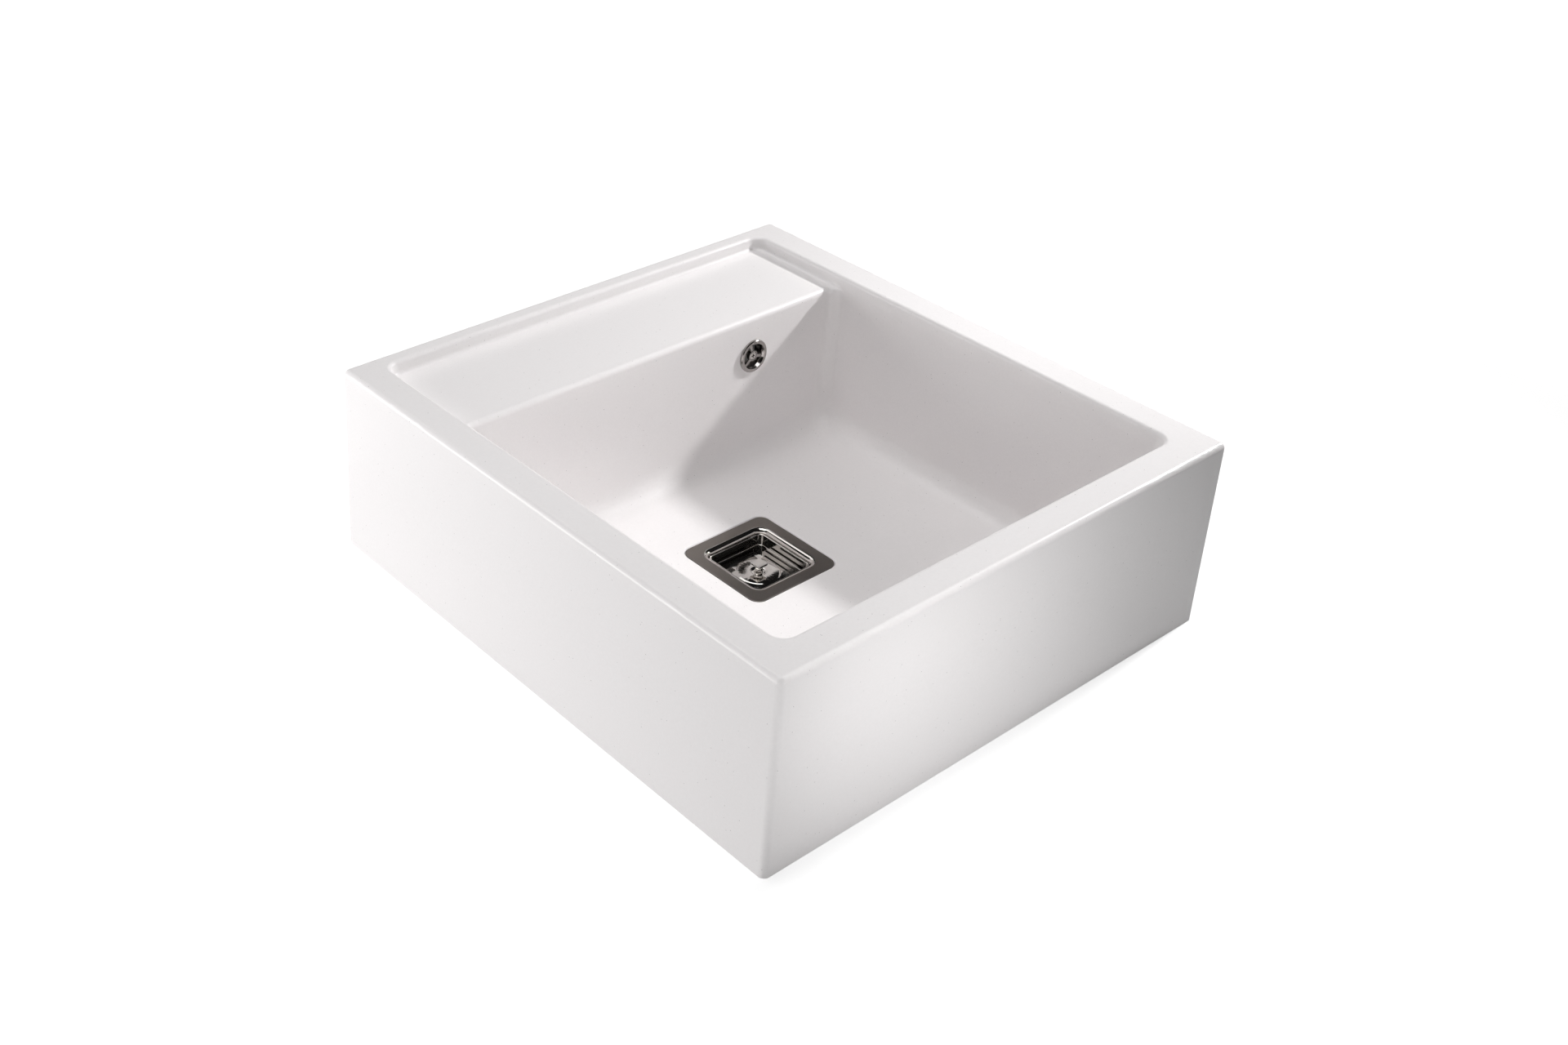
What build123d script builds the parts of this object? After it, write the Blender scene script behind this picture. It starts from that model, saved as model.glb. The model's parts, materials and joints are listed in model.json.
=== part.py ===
from build123d import *
from math import cos, hypot, pi, radians, sin, tan
import os

os.makedirs("parts", exist_ok=True)

# Apron-front kitchen sink in granite composite, with its square basket waste and overflow.
# +X is to the right, +Y to the back, +Z up, and the front apron faces -Y.
# The origin is the centre of the plane that the skirts stand on.

# Sink body, outside
base_width = 600.0
base_depth = 640.0
body_height = 208.0
skirt_flare = 1.0
outer_corner_radius = 7.0
top_edge_radius = 6.0

# Sink body, rim and tap ledge
rim_side = 38.0
rim_front = 38.0
rim_back = 20.0
rim_edge_radius = 5.0
ledge_drop = 14.0
ledge_depth = 128.4
ledge_edge_radius = 6.0
ledge_foot_radius = 4.0
recess_draft = 8.0
plan_corner_radius = 15.0

# Sink body, bowl
bowl_depth = 182.0
side_draft = 2.3
front_draft = 2.0
back_draft = 1.2
bowl_foot_radius = 28.0
floor_fall = 1.5
drain_y = 3.7

# Sink body, thicknesses and underside
bowl_wall = 10.0
skirt_wall = 12.0
floor_thickness = 12.0
ledge_thickness = 12.0
rim_thickness = 12.0
skirt_inner_radius = 5.0
rib_thickness = 6.0
rib_clearance = 60.0
side_rib_setback = 18.0
side_rib_spacing = 300.0
front_rib_spacing = 260.0
ledge_rib_spacing = 150.0
tap_hole_radius = 17.5
tap_hole_web = 4.0
tap_hole_spacing = 120.0

# Square waste flange, pressed from one sheet
flange_size = 115.0
flange_corner_radius = 11.0
flange_sheet = 1.0
flange_sink = 0.5
flange_side_gap = 0.6
flange_edge_radius = 0.4
pocket_lip_radius = 2.2
pocket_lip_flat = 4.0
well_mouth = 78.0
well_corner_radius = 8.0
well_roll_radius = 5.5
well_bend_radius = 4.0
cup_radius = 28.0
cup_depth = 10.0
cup_edge_radius = 1.5
cup_hole_count = 6
cup_hole_radius = 5.0
cup_hole_circle = 19.5
floor_hole = 90.0
floor_hole_corner = 14.0

# Seals of the waste
flange_seal_thickness = 1.7
flange_seal_margin = 1.0
flange_seal_width = 10.0
body_seal_thickness = 3.0
body_seal_margin = 2.0
body_seal_width = 14.5

# Strainer basket
basket_size = 75.2
basket_corner_radius = 6.0
basket_sheet = 0.8
basket_rim_drop = 4.4
basket_depth = 17.6
basket_bend_radius = 1.6
hem_height = 2.2
hem_thickness = 0.9
outer_slot_offset = 32.6
outer_slot_length = 48.0
outer_slot_width = 3.0
inner_slot_offset = 25.3
inner_slot_length = 35.5
inner_slot_width = 2.6
disc_radius = 21.4
disc_edge = 2.2
disc_raise = 1.0
dimple_radius = 9.0
dimple_edge = 2.0
dimple_depth = 0.8
hem_edge_radius = 0.6

# Knob, stem and plug of the basket
knob_head_size = 13.6
knob_head_taper = 0.6
knob_head_thickness = 2.2
knob_head_corner = 0.9
knob_edge_radius = 0.4
knob_height = 11.0
knob_foot_radius = 5.0
knob_waist_radius = 3.9
thread_radius = 3.0
thread_gap = 0.1
thread_in_knob = 6.0
plug_seal_radius = 31.0
plug_seal_thickness = 3.6
plug_seal_chamfer = 1.4
seat_gap = 0.3
washer_radius = 14.0
washer_thickness = 1.2
stem_collar_radius = 6.5
stem_collar_thickness = 2.0
guide_radius = 4.0
guide_length = 20.0
guide_chamfer = 0.8
ring_wire = 1.8
ring_drop = 12.0
ring_gap = 0.3
ring_groove_play = 0.05

# Waste screw, its washer and its insert
screw_radius = 6.5
screw_bore_radius = 4.6
screw_head_radius = 10.0
screw_head_thickness = 2.5
screw_length = 24.0
screw_slot_width = 2.0
screw_slot_depth = 1.2
screw_chamfer = 0.5
screw_hole_gap = 0.5
screw_washer_radius = 11.5
screw_washer_thickness = 1.0
insert_radius = 9.0
insert_length = 14.0

# Moulded waste body under the sink
body_flange_size = 124.0
body_flange_corner = 16.0
body_flange_thickness = 4.0
body_wall = 3.5
body_cup_size = 86.0
body_cup_corner = 12.0
body_cup_gap = 3.2
chamber_radius = 35.0
chamber_height = 22.5
chamber_cone_height = 12.0
hub_radius = 12.0
hub_height = 18.0
hub_drop = 1.5
spider_thickness = 3.0
outlet_bore_radius = 20.0
outlet_thread_radius = 23.9
outlet_length = 25.0
spigot_drop = 18.5

# Overflow in the bowl's back wall
overflow_x = 133.0
overflow_drop = 61.0
overflow_hole_radius = 14.5
rosette_radius = 19.0
rosette_height = 3.0
rosette_bevel = 0.9
rosette_face_radius = 15.0
rosette_throat_radius = 12.8
rosette_sheet = 1.0
rosette_tube_length = 8.0
rosette_cone_depth = 4.5
spoke_count = 3
spoke_width = 3.4
spoke_thickness = 1.2
spoke_sink = 2.6
spoke_angle = 105.0
boss_radius = 6.0
boss_rise = 0.4
boss_height = 3.4
boss_dish_radius = 5.0
boss_dish_depth = 1.8
overflow_screw_head_radius = 4.7
overflow_screw_head_height = 1.8
overflow_screw_edge = 0.5
overflow_screw_radius = 3.0
overflow_screw_hole = 3.3
overflow_screw_length = 30.0
cross_width = 1.1
cross_length = 4.8
cross_depth = 1.3
overflow_seal_thickness = 3.0
overflow_seal_radius = 23.0
elbow_flange_radius = 24.5
elbow_flange_thickness = 3.5
elbow_bore_radius = 15.0
elbow_wall = 3.0
elbow_outlet_back = 32.0
elbow_outlet_drop = 35.0
elbow_boss_radius = 7.5
elbow_boss_start = 19.0
elbow_pilot_depth = 4.0
overflow_insert_radius = 5.0
overflow_insert_length = 14.0

# Ribbed overflow hose, its nuts and its seals
hose_bore_radius = 10.0
hose_crest_radius = 12.7
hose_root_radius = 11.3
hose_rib_pitch = 5.0
hose_collar_radius = 13.8
hose_collar_length = 3.0
hose_cuff_length = 20.0
hose_valley_length = 1.2
hose_flank_length = 0.8
hose_bend_radius = 100.0
spigot_radius = 14.0
spigot_reach = 74.0
hose_seal_thickness = 2.0
nut_radius = 17.6
nut_length = 18.0
nut_lip_length = 3.0
nut_gap = 0.3
nut_grip_count = 12
nut_grip_depth = 0.8
nut_grip_radius = 3.0

# Levels and walls that follow from the sizes above
top_half_width = base_width / 2 - body_height * tan(radians(skirt_flare))
top_half_depth = base_depth / 2 - body_height * tan(radians(skirt_flare))
ledge_level = body_height - ledge_drop
foot_level = body_height - bowl_depth
foot_top = foot_level + bowl_foot_radius
lip_level = foot_level - floor_fall
shell_bottom = lip_level - floor_thickness
bowl_back = top_half_depth - rim_back - ledge_depth
overflow_z = body_height - overflow_drop
foot_steps = 6
cut_over = 2.0


def bowl_plan(level, inset=0.0, back_shift=0.0):
    """Width, depth and middle Y of the bowl's plan at a level, drawn in by inset on every side."""
    band = (body_height - max(level, ledge_level)) * tan(radians(recess_draft))
    below = max(ledge_level - level, 0.0)
    half_width = top_half_width - rim_side - band - below * tan(radians(side_draft)) - inset
    front = rim_front - top_half_depth + band + below * tan(radians(front_draft)) + inset
    back = bowl_back - below * tan(radians(back_draft)) + back_shift - inset
    return 2 * half_width, back - front, (back + front) / 2


def skirt_plan(level, inset):
    """Width and depth of the outside at a level, drawn in by inset on every side."""
    run = level * tan(radians(skirt_flare)) + inset
    return base_width - 2 * run, base_depth - 2 * run


def level_face(part, level):
    """The level face of a part that lies nearest to a height."""
    return part.faces().filter_by(Axis.Z).sort_by(lambda face: abs(face.center().Z - level))[0]


# Space inside the bowl: the band below the rim, the rounded ledge edge, the walls and the foot
with BuildPart() as bowl_space:
    for level in (body_height + cut_over, ledge_level):
        width, depth, middle = bowl_plan(level, back_shift=ledge_edge_radius)
        with BuildSketch(Plane((0, middle, level))):
            RectangleRounded(width, depth, plan_corner_radius)
    loft(ruled=True)
    for step in range(foot_steps + 1):
        turn = pi / 2 * step / foot_steps
        level = ledge_level - ledge_edge_radius * (1 - cos(turn))
        shift = ledge_edge_radius * (1 - sin(turn))
        width, depth, middle = bowl_plan(level, back_shift=shift)
        with BuildSketch(Plane((0, middle, level))):
            RectangleRounded(width, depth, plan_corner_radius)
    loft(ruled=True)
    for level in (ledge_level - ledge_edge_radius, foot_top):
        width, depth, middle = bowl_plan(level)
        with BuildSketch(Plane((0, middle, level))):
            RectangleRounded(width, depth, plan_corner_radius)
    loft(ruled=True)
    for step in range(foot_steps + 1):
        turn = pi / 2 * step / foot_steps
        width, depth, middle = bowl_plan(foot_top, bowl_foot_radius * (1 - cos(turn)))
        with BuildSketch(Plane((0, middle, foot_top - bowl_foot_radius * sin(turn)))):
            RectangleRounded(width, depth, plan_corner_radius)
    loft()

# Space over the tap ledge, rounded where the ledge meets the walls
ledge_front = bowl_back - plan_corner_radius
with BuildPart() as ledge_space:
    for level in (body_height + cut_over, ledge_level):
        band = (body_height - level) * tan(radians(recess_draft))
        back = top_half_depth - rim_back - band
        with BuildSketch(Plane((0, (ledge_front + back) / 2, level))) as plan:
            Rectangle(2 * (top_half_width - rim_side - band), back - ledge_front)
            fillet(plan.vertices().group_by(Axis.Y)[-1], plan_corner_radius)
    loft(ruled=True)
    ledge_outline = ledge_space.edges().group_by(Axis.Z)[0].sort_by(Axis.Y)
    fillet(ledge_outline[1:], ledge_foot_radius)

# Shell that stands round the bowl, with a rounded foot of its own
with BuildPart() as bowl_shell:
    shell_corner = plan_corner_radius + bowl_wall
    for level in (body_height, ledge_level, foot_top):
        width, depth, middle = bowl_plan(level, -bowl_wall)
        with BuildSketch(Plane((0, middle, level))):
            RectangleRounded(width, depth, shell_corner)
    loft(ruled=True)
    for step in range(foot_steps + 1):
        turn = pi / 2 * step / foot_steps
        inset = (bowl_foot_radius + bowl_wall) * (1 - cos(turn)) - bowl_wall
        width, depth, middle = bowl_plan(foot_top, inset)
        with BuildSketch(Plane((0, middle, foot_top - (foot_top - shell_bottom) * sin(turn)))):
            RectangleRounded(width, depth, shell_corner)
    loft()

# Hollow between the skirts and that shell, with stiffening ribs left across it
side_rib_back_y = bowl_back - side_rib_setback
rib_front_y = -base_depth / 4
rib_back_y = base_depth / 4
with BuildPart() as hollow:
    for level in (-cut_over, body_height - rim_thickness):
        width, depth = skirt_plan(level, skirt_wall)
        with BuildSketch(Plane.XY.offset(level)):
            RectangleRounded(width, depth, skirt_inner_radius)
    loft(ruled=True)
    add(bowl_shell.part, mode=Mode.SUBTRACT)
    with Locations((0, bowl_back, ledge_level - ledge_thickness)):
        over_ledge = (Align.CENTER, Align.MIN, Align.MIN)
        Box(base_width, base_depth, body_height, align=over_ledge, mode=Mode.SUBTRACT)
    rib_stand = (Align.CENTER, Align.CENTER, Align.MIN)
    with Locations(
        (0, side_rib_back_y - side_rib_spacing, rib_clearance),
        (0, side_rib_back_y, rib_clearance),
    ):
        Box(base_width, rib_thickness, body_height, align=rib_stand, mode=Mode.SUBTRACT)
    with Locations(
        (-front_rib_spacing / 2, rib_front_y, rib_clearance),
        (front_rib_spacing / 2, rib_front_y, rib_clearance),
        (-ledge_rib_spacing / 2, rib_back_y, rib_clearance),
        (ledge_rib_spacing / 2, rib_back_y, rib_clearance),
    ):
        Box(rib_thickness, base_depth / 2, body_height, align=rib_stand, mode=Mode.SUBTRACT)

# The bowl floor falls to a flat lip round a sunk square pocket for the waste flange
pocket_size = flange_size + 2 * flange_side_gap
pocket_corner = flange_corner_radius + flange_side_gap
pocket_depth = flange_sink + flange_sheet + flange_seal_thickness
lip_size = pocket_size + 2 * pocket_lip_flat
with BuildPart() as floor_space:
    width, depth, middle = bowl_plan(foot_top, bowl_foot_radius)
    with BuildSketch(Plane((0, middle, foot_level))):
        RectangleRounded(width, depth, plan_corner_radius)
    with BuildSketch(Plane((0, drain_y, lip_level))):
        RectangleRounded(lip_size, lip_size, pocket_corner + pocket_lip_flat)
    loft(ruled=True)

# Overflow frame: its origin is on the wet face of the back wall and its Z points into the bowl
wall_tilt = radians(back_draft)
overflow_wall_y = bowl_back - (ledge_level - overflow_z) * tan(wall_tilt)
overflow_plane = Plane(
    origin=(overflow_x, overflow_wall_y, overflow_z),
    x_dir=(1, 0, 0),
    z_dir=(0, -cos(wall_tilt), sin(wall_tilt)),
)
overflow_section = Plane(
    origin=overflow_plane.origin,
    x_dir=(1, 0, 0),
    z_dir=(0, -sin(wall_tilt), -cos(wall_tilt)),
)
overflow_axis = Axis(overflow_plane.origin, overflow_plane.z_dir)
wall_back = bowl_wall * cos(wall_tilt)
ledge_middle_y = (bowl_back + top_half_depth - rim_back) / 2

# Sink body, one casting: apron, skirts, rim, tap ledge and bowl
with BuildPart() as sink_body:
    for level in (0, body_height):
        width, depth = skirt_plan(level, 0)
        with BuildSketch(Plane.XY.offset(level)):
            RectangleRounded(width, depth, outer_corner_radius)
    loft(ruled=True)
    fillet(sink_body.edges().group_by(Axis.Z)[-1], top_edge_radius)
    add(bowl_space.part, mode=Mode.SUBTRACT)
    add(ledge_space.part, mode=Mode.SUBTRACT)
    rim_face = sink_body.faces().sort_by(Axis.Z)[-1]
    fillet(rim_face.inner_wires()[0].edges(), rim_edge_radius)
    add(floor_space.part, mode=Mode.SUBTRACT)
    with BuildSketch(Plane((0, drain_y, lip_level))):
        RectangleRounded(pocket_size, pocket_size, pocket_corner)
    extrude(amount=-pocket_depth, mode=Mode.SUBTRACT)
    fillet(level_face(sink_body, lip_level).inner_wires()[0].edges(), pocket_lip_radius)
    add(hollow.part, mode=Mode.SUBTRACT)
    with BuildSketch(Plane((0, drain_y, lip_level - pocket_depth))):
        RectangleRounded(floor_hole, floor_hole, floor_hole_corner)
    extrude(amount=-floor_thickness, mode=Mode.SUBTRACT)
    with BuildSketch(overflow_plane.offset(cut_over)):
        Circle(overflow_hole_radius)
    extrude(amount=-(cut_over + bowl_wall + cut_over), mode=Mode.SUBTRACT)
    with BuildSketch(Plane((0, ledge_middle_y, ledge_level - ledge_thickness))):
        with Locations((0, 0), (-tap_hole_spacing, 0)):
            Circle(tap_hole_radius)
    extrude(amount=ledge_thickness - tap_hole_web, mode=Mode.SUBTRACT)
sink_body.part.label = "sink_body"
export_step(sink_body.part, "parts/sink_body.step")

# Levels of the waste, from the flange downwards
flange_top = lip_level - flange_sink
basket_floor = flange_top - basket_depth
basket_rim = flange_top - basket_rim_drop
disc_top = basket_floor + disc_raise
dimple_floor = disc_top - dimple_depth
washer_top = dimple_floor - basket_sheet
plug_top = washer_top - washer_thickness
plug_bottom = plug_top - plug_seal_thickness
well_floor = plug_bottom - seat_gap
cup_floor = well_floor - cup_depth
screw_washer_top = cup_floor + screw_washer_thickness
screw_head_top = screw_washer_top + screw_head_thickness
collar_bottom = plug_bottom - stem_collar_thickness
body_top = shell_bottom - body_seal_thickness
body_cup_floor = well_floor - flange_sheet - body_cup_gap
chamber_bottom = body_cup_floor - chamber_height
outlet_top = chamber_bottom - chamber_cone_height
outlet_end = outlet_top - outlet_length
hub_top = cup_floor - flange_sheet - hub_drop
hub_bottom = hub_top - hub_height
spigot_level = body_cup_floor - spigot_drop
drain_section = Plane(origin=(0, drain_y, 0), x_dir=(1, 0, 0), z_dir=(0, -1, 0))
drain_axis = Axis((0, drain_y, 0), (0, 0, 1))

# Space in the waste flange: a square well, rounded at its foot, and the round cup below it
with BuildPart() as well_space:
    with BuildSketch(Plane((0, drain_y, flange_top))):
        RectangleRounded(well_mouth, well_mouth, well_corner_radius)
    extrude(amount=well_floor - flange_top)
    fillet(well_space.edges().group_by(Axis.Z)[0], well_bend_radius)
    with BuildSketch(Plane((0, drain_y, well_floor))):
        Circle(cup_radius)
    extrude(amount=-cup_depth)
    fillet(well_space.edges().group_by(Axis.Z)[0], cup_edge_radius)

# Waste flange: a flat square ring that rolls over into that deep square well
well_outer = well_mouth + 2 * flange_sheet
with BuildPart() as waste_flange:
    with BuildSketch(Plane((0, drain_y, flange_top))):
        RectangleRounded(flange_size, flange_size, flange_corner_radius)
    extrude(amount=-flange_sheet)
    fillet(waste_flange.edges().group_by(Axis.Z)[-1], flange_edge_radius)
    with BuildSketch(Plane((0, drain_y, flange_top - flange_sheet))):
        RectangleRounded(well_outer, well_outer, well_corner_radius + flange_sheet)
    extrude(amount=well_floor - flange_top)
    fillet(waste_flange.edges().group_by(Axis.Z)[0], well_bend_radius + flange_sheet)
    ring_underside = waste_flange.faces().filter_by(Axis.Z).sort_by(Axis.Z)[-2]
    fillet(ring_underside.inner_wires()[0].edges(), well_roll_radius - flange_sheet)
    with BuildSketch(Plane((0, drain_y, well_floor))):
        Circle(cup_radius + flange_sheet)
    extrude(amount=-(cup_depth + flange_sheet))
    add(well_space.part, mode=Mode.SUBTRACT)
    ring_face = waste_flange.faces().sort_by(Axis.Z)[-1]
    fillet(ring_face.inner_wires()[0].edges(), well_roll_radius)
    with BuildSketch(Plane((0, drain_y, cup_floor))):
        Circle(screw_radius + screw_hole_gap)
        with PolarLocations(cup_hole_circle, cup_hole_count):
            Circle(cup_hole_radius)
    extrude(amount=-flange_sheet, mode=Mode.SUBTRACT)
waste_flange.part.label = "waste_flange"
export_step(waste_flange.part, "parts/waste_flange.step")

# Seal that the flange presses into the pocket
flange_seal_size = flange_size - 2 * flange_seal_margin
flange_seal_inner = flange_seal_size - 2 * flange_seal_width
with BuildPart() as flange_seal:
    with BuildSketch(Plane((0, drain_y, flange_top - flange_sheet))):
        RectangleRounded(flange_seal_size, flange_seal_size, flange_corner_radius - flange_seal_margin)
        RectangleRounded(flange_seal_inner, flange_seal_inner, flange_seal_margin, mode=Mode.SUBTRACT)
    extrude(amount=-flange_seal_thickness)
flange_seal.part.label = "flange_seal"
export_step(flange_seal.part, "parts/flange_seal.step")

# Strainer basket: a pressed square tray with a hemmed rim, slots and a raised disc
basket_inner = basket_size - 2 * basket_sheet
hem_size = basket_size + 2 * hem_thickness
stem_hole_radius = thread_radius + thread_gap
with BuildPart() as strainer_basket:
    with BuildSketch(Plane((0, drain_y, basket_rim))):
        RectangleRounded(basket_size, basket_size, basket_corner_radius)
    extrude(amount=basket_floor - basket_sheet - basket_rim)
    fillet(strainer_basket.edges().group_by(Axis.Z)[0], basket_bend_radius)
    with BuildSketch(Plane((0, drain_y, basket_rim))):
        RectangleRounded(hem_size, hem_size, basket_corner_radius + hem_thickness)
    extrude(amount=-hem_height)
    with BuildSketch(Plane((0, drain_y, basket_rim))):
        RectangleRounded(basket_inner, basket_inner, basket_corner_radius - basket_sheet)
    extrude(amount=basket_floor - basket_rim, mode=Mode.SUBTRACT)
    tray_edges = level_face(strainer_basket, basket_floor).outer_wire().edges()
    fillet(tray_edges, basket_bend_radius - basket_sheet)
    fillet(strainer_basket.edges().group_by(Axis.Z)[-1], hem_edge_radius)
    with BuildSketch(Plane((0, drain_y, basket_floor))):
        Circle(disc_radius + disc_edge)
        with PolarLocations(outer_slot_offset, 4):
            SlotOverall(outer_slot_length, outer_slot_width, rotation=90)
        with PolarLocations(inner_slot_offset, 4):
            SlotOverall(inner_slot_length, inner_slot_width, rotation=90)
    extrude(amount=-basket_sheet, mode=Mode.SUBTRACT)
    with BuildSketch(drain_section):
        with BuildLine():
            Polyline(
                (stem_hole_radius, dimple_floor),
                (dimple_radius - dimple_edge, dimple_floor),
                (dimple_radius, disc_top),
                (disc_radius, disc_top),
                (disc_radius + disc_edge, basket_floor),
                (disc_radius + disc_edge, basket_floor - basket_sheet),
                (disc_radius, disc_top - basket_sheet),
                (dimple_radius, disc_top - basket_sheet),
                (dimple_radius - dimple_edge, washer_top),
                (stem_hole_radius, washer_top),
                close=True,
            )
        make_face()
    revolve(axis=drain_axis)
strainer_basket.part.label = "strainer_basket"
export_step(strainer_basket.part, "parts/strainer_basket.step")

# Knob: a square cap on a waisted barrel, screwed to the stem
knob_top = dimple_floor + knob_height
head_underside = knob_top - knob_head_thickness
with BuildPart() as basket_knob:
    with BuildSketch(drain_section):
        with BuildLine():
            ThreePointArc(
                (knob_foot_radius, dimple_floor),
                (knob_waist_radius, (dimple_floor + head_underside) / 2),
                (knob_foot_radius, head_underside),
            )
            Polyline(
                (knob_foot_radius, head_underside),
                (0, head_underside),
                (0, dimple_floor),
                (knob_foot_radius, dimple_floor),
            )
        make_face()
    revolve(axis=drain_axis)
    for level, size in ((head_underside, knob_head_size - 2 * knob_head_taper), (knob_top, knob_head_size)):
        with BuildSketch(Plane((0, drain_y, level))):
            RectangleRounded(size, size, knob_head_corner)
    loft(ruled=True)
    fillet(basket_knob.edges().group_by(Axis.Z)[-1], knob_edge_radius)
    with BuildSketch(Plane((0, drain_y, dimple_floor))):
        Circle(stem_hole_radius)
    extrude(amount=thread_in_knob + thread_gap, mode=Mode.SUBTRACT)
basket_knob.part.label = "basket_knob"
export_step(basket_knob.part, "parts/basket_knob.step")

# Stem: threaded into the knob, a collar under the plug seal, then a guide pin with a ring groove
ring_level = collar_bottom - ring_drop
ring_centre_radius = screw_bore_radius - ring_gap - ring_wire / 2
groove_radius = ring_centre_radius - ring_wire / 2 - ring_groove_play
groove_half = ring_wire / 2 + ring_groove_play
guide_end = collar_bottom - guide_length
with BuildPart() as basket_stem:
    with BuildSketch(drain_section):
        with BuildLine():
            Polyline(
                (0, dimple_floor + thread_in_knob),
                (thread_radius, dimple_floor + thread_in_knob),
                (thread_radius, plug_bottom),
                (stem_collar_radius, plug_bottom),
                (stem_collar_radius, collar_bottom),
                (guide_radius, collar_bottom),
                (guide_radius, ring_level + groove_half),
                (groove_radius, ring_level + groove_half),
                (groove_radius, ring_level - groove_half),
                (guide_radius, ring_level - groove_half),
                (guide_radius, guide_end + guide_chamfer),
                (guide_radius - guide_chamfer, guide_end),
                (0, guide_end),
                close=True,
            )
        make_face()
    revolve(axis=drain_axis)
basket_stem.part.label = "basket_stem"
export_step(basket_stem.part, "parts/basket_stem.step")

# Rubber ring in the stem's groove, which steadies the stem in the hollow screw
with BuildPart() as stem_ring:
    with BuildSketch(drain_section):
        with Locations((ring_centre_radius, ring_level)):
            Circle(ring_wire / 2)
    revolve(axis=drain_axis)
stem_ring.part.label = "stem_ring"
export_step(stem_ring.part, "parts/stem_ring.step")

# Plug seal under the basket, which closes the cup
with BuildPart() as plug_seal:
    with BuildSketch(Plane((0, drain_y, plug_top))):
        Circle(plug_seal_radius)
        Circle(stem_hole_radius, mode=Mode.SUBTRACT)
    extrude(amount=-plug_seal_thickness)
    chamfer(plug_seal.edges().group_by(Axis.Z)[0].sort_by(SortBy.LENGTH)[-1], plug_seal_chamfer)
plug_seal.part.label = "plug_seal"
export_step(plug_seal.part, "parts/plug_seal.step")

# Washer that keeps the plug seal clear of the basket's slots
with BuildPart() as seal_washer:
    with BuildSketch(Plane((0, drain_y, washer_top))):
        Circle(washer_radius)
        Circle(stem_hole_radius, mode=Mode.SUBTRACT)
    extrude(amount=-washer_thickness)
seal_washer.part.label = "seal_washer"
export_step(seal_washer.part, "parts/seal_washer.step")

# Hollow waste screw, which draws the flange and the waste body together
with BuildPart() as waste_screw:
    with BuildSketch(Plane((0, drain_y, screw_head_top))):
        Circle(screw_head_radius)
    extrude(amount=-screw_head_thickness)
    chamfer(waste_screw.edges().group_by(Axis.Z)[-1], screw_chamfer)
    with BuildSketch(Plane((0, drain_y, screw_washer_top))):
        Circle(screw_radius)
    extrude(amount=-screw_length)
    chamfer(waste_screw.edges().group_by(Axis.Z)[0], screw_chamfer)
    with BuildSketch(Plane((0, drain_y, screw_head_top))):
        Circle(screw_bore_radius)
    extrude(amount=-(screw_head_thickness + screw_length), mode=Mode.SUBTRACT)
    with BuildSketch(Plane((0, drain_y, screw_head_top))):
        Rectangle(2 * screw_head_radius, screw_slot_width)
    extrude(amount=-screw_slot_depth, mode=Mode.SUBTRACT)
waste_screw.part.label = "waste_screw"
export_step(waste_screw.part, "parts/waste_screw.step")

# Washer under the screw's head
with BuildPart() as screw_washer:
    with BuildSketch(Plane((0, drain_y, screw_washer_top))):
        Circle(screw_washer_radius)
        Circle(screw_radius + thread_gap, mode=Mode.SUBTRACT)
    extrude(amount=-screw_washer_thickness)
screw_washer.part.label = "screw_washer"
export_step(screw_washer.part, "parts/screw_washer.step")

# Brass insert that the screw pulls up against the shoulder in the hub
with BuildPart() as screw_insert:
    with BuildSketch(Plane((0, drain_y, hub_bottom))):
        Circle(insert_radius)
        Circle(screw_radius + thread_gap, mode=Mode.SUBTRACT)
    extrude(amount=insert_length)
screw_insert.part.label = "screw_insert"
export_step(screw_insert.part, "parts/screw_insert.step")

# The overflow hose runs in the upright plane through the drain and the elbow's outlet
elbow_outlet = overflow_plane.offset(-elbow_outlet_back).origin
outlet_level = overflow_z - elbow_outlet_drop
axis_distance = hypot(elbow_outlet.X, elbow_outlet.Y - drain_y)
toward_elbow = Vector(elbow_outlet.X / axis_distance, (elbow_outlet.Y - drain_y) / axis_distance, 0)
route_normal = Vector(toward_elbow.Y, -toward_elbow.X, 0)

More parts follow.
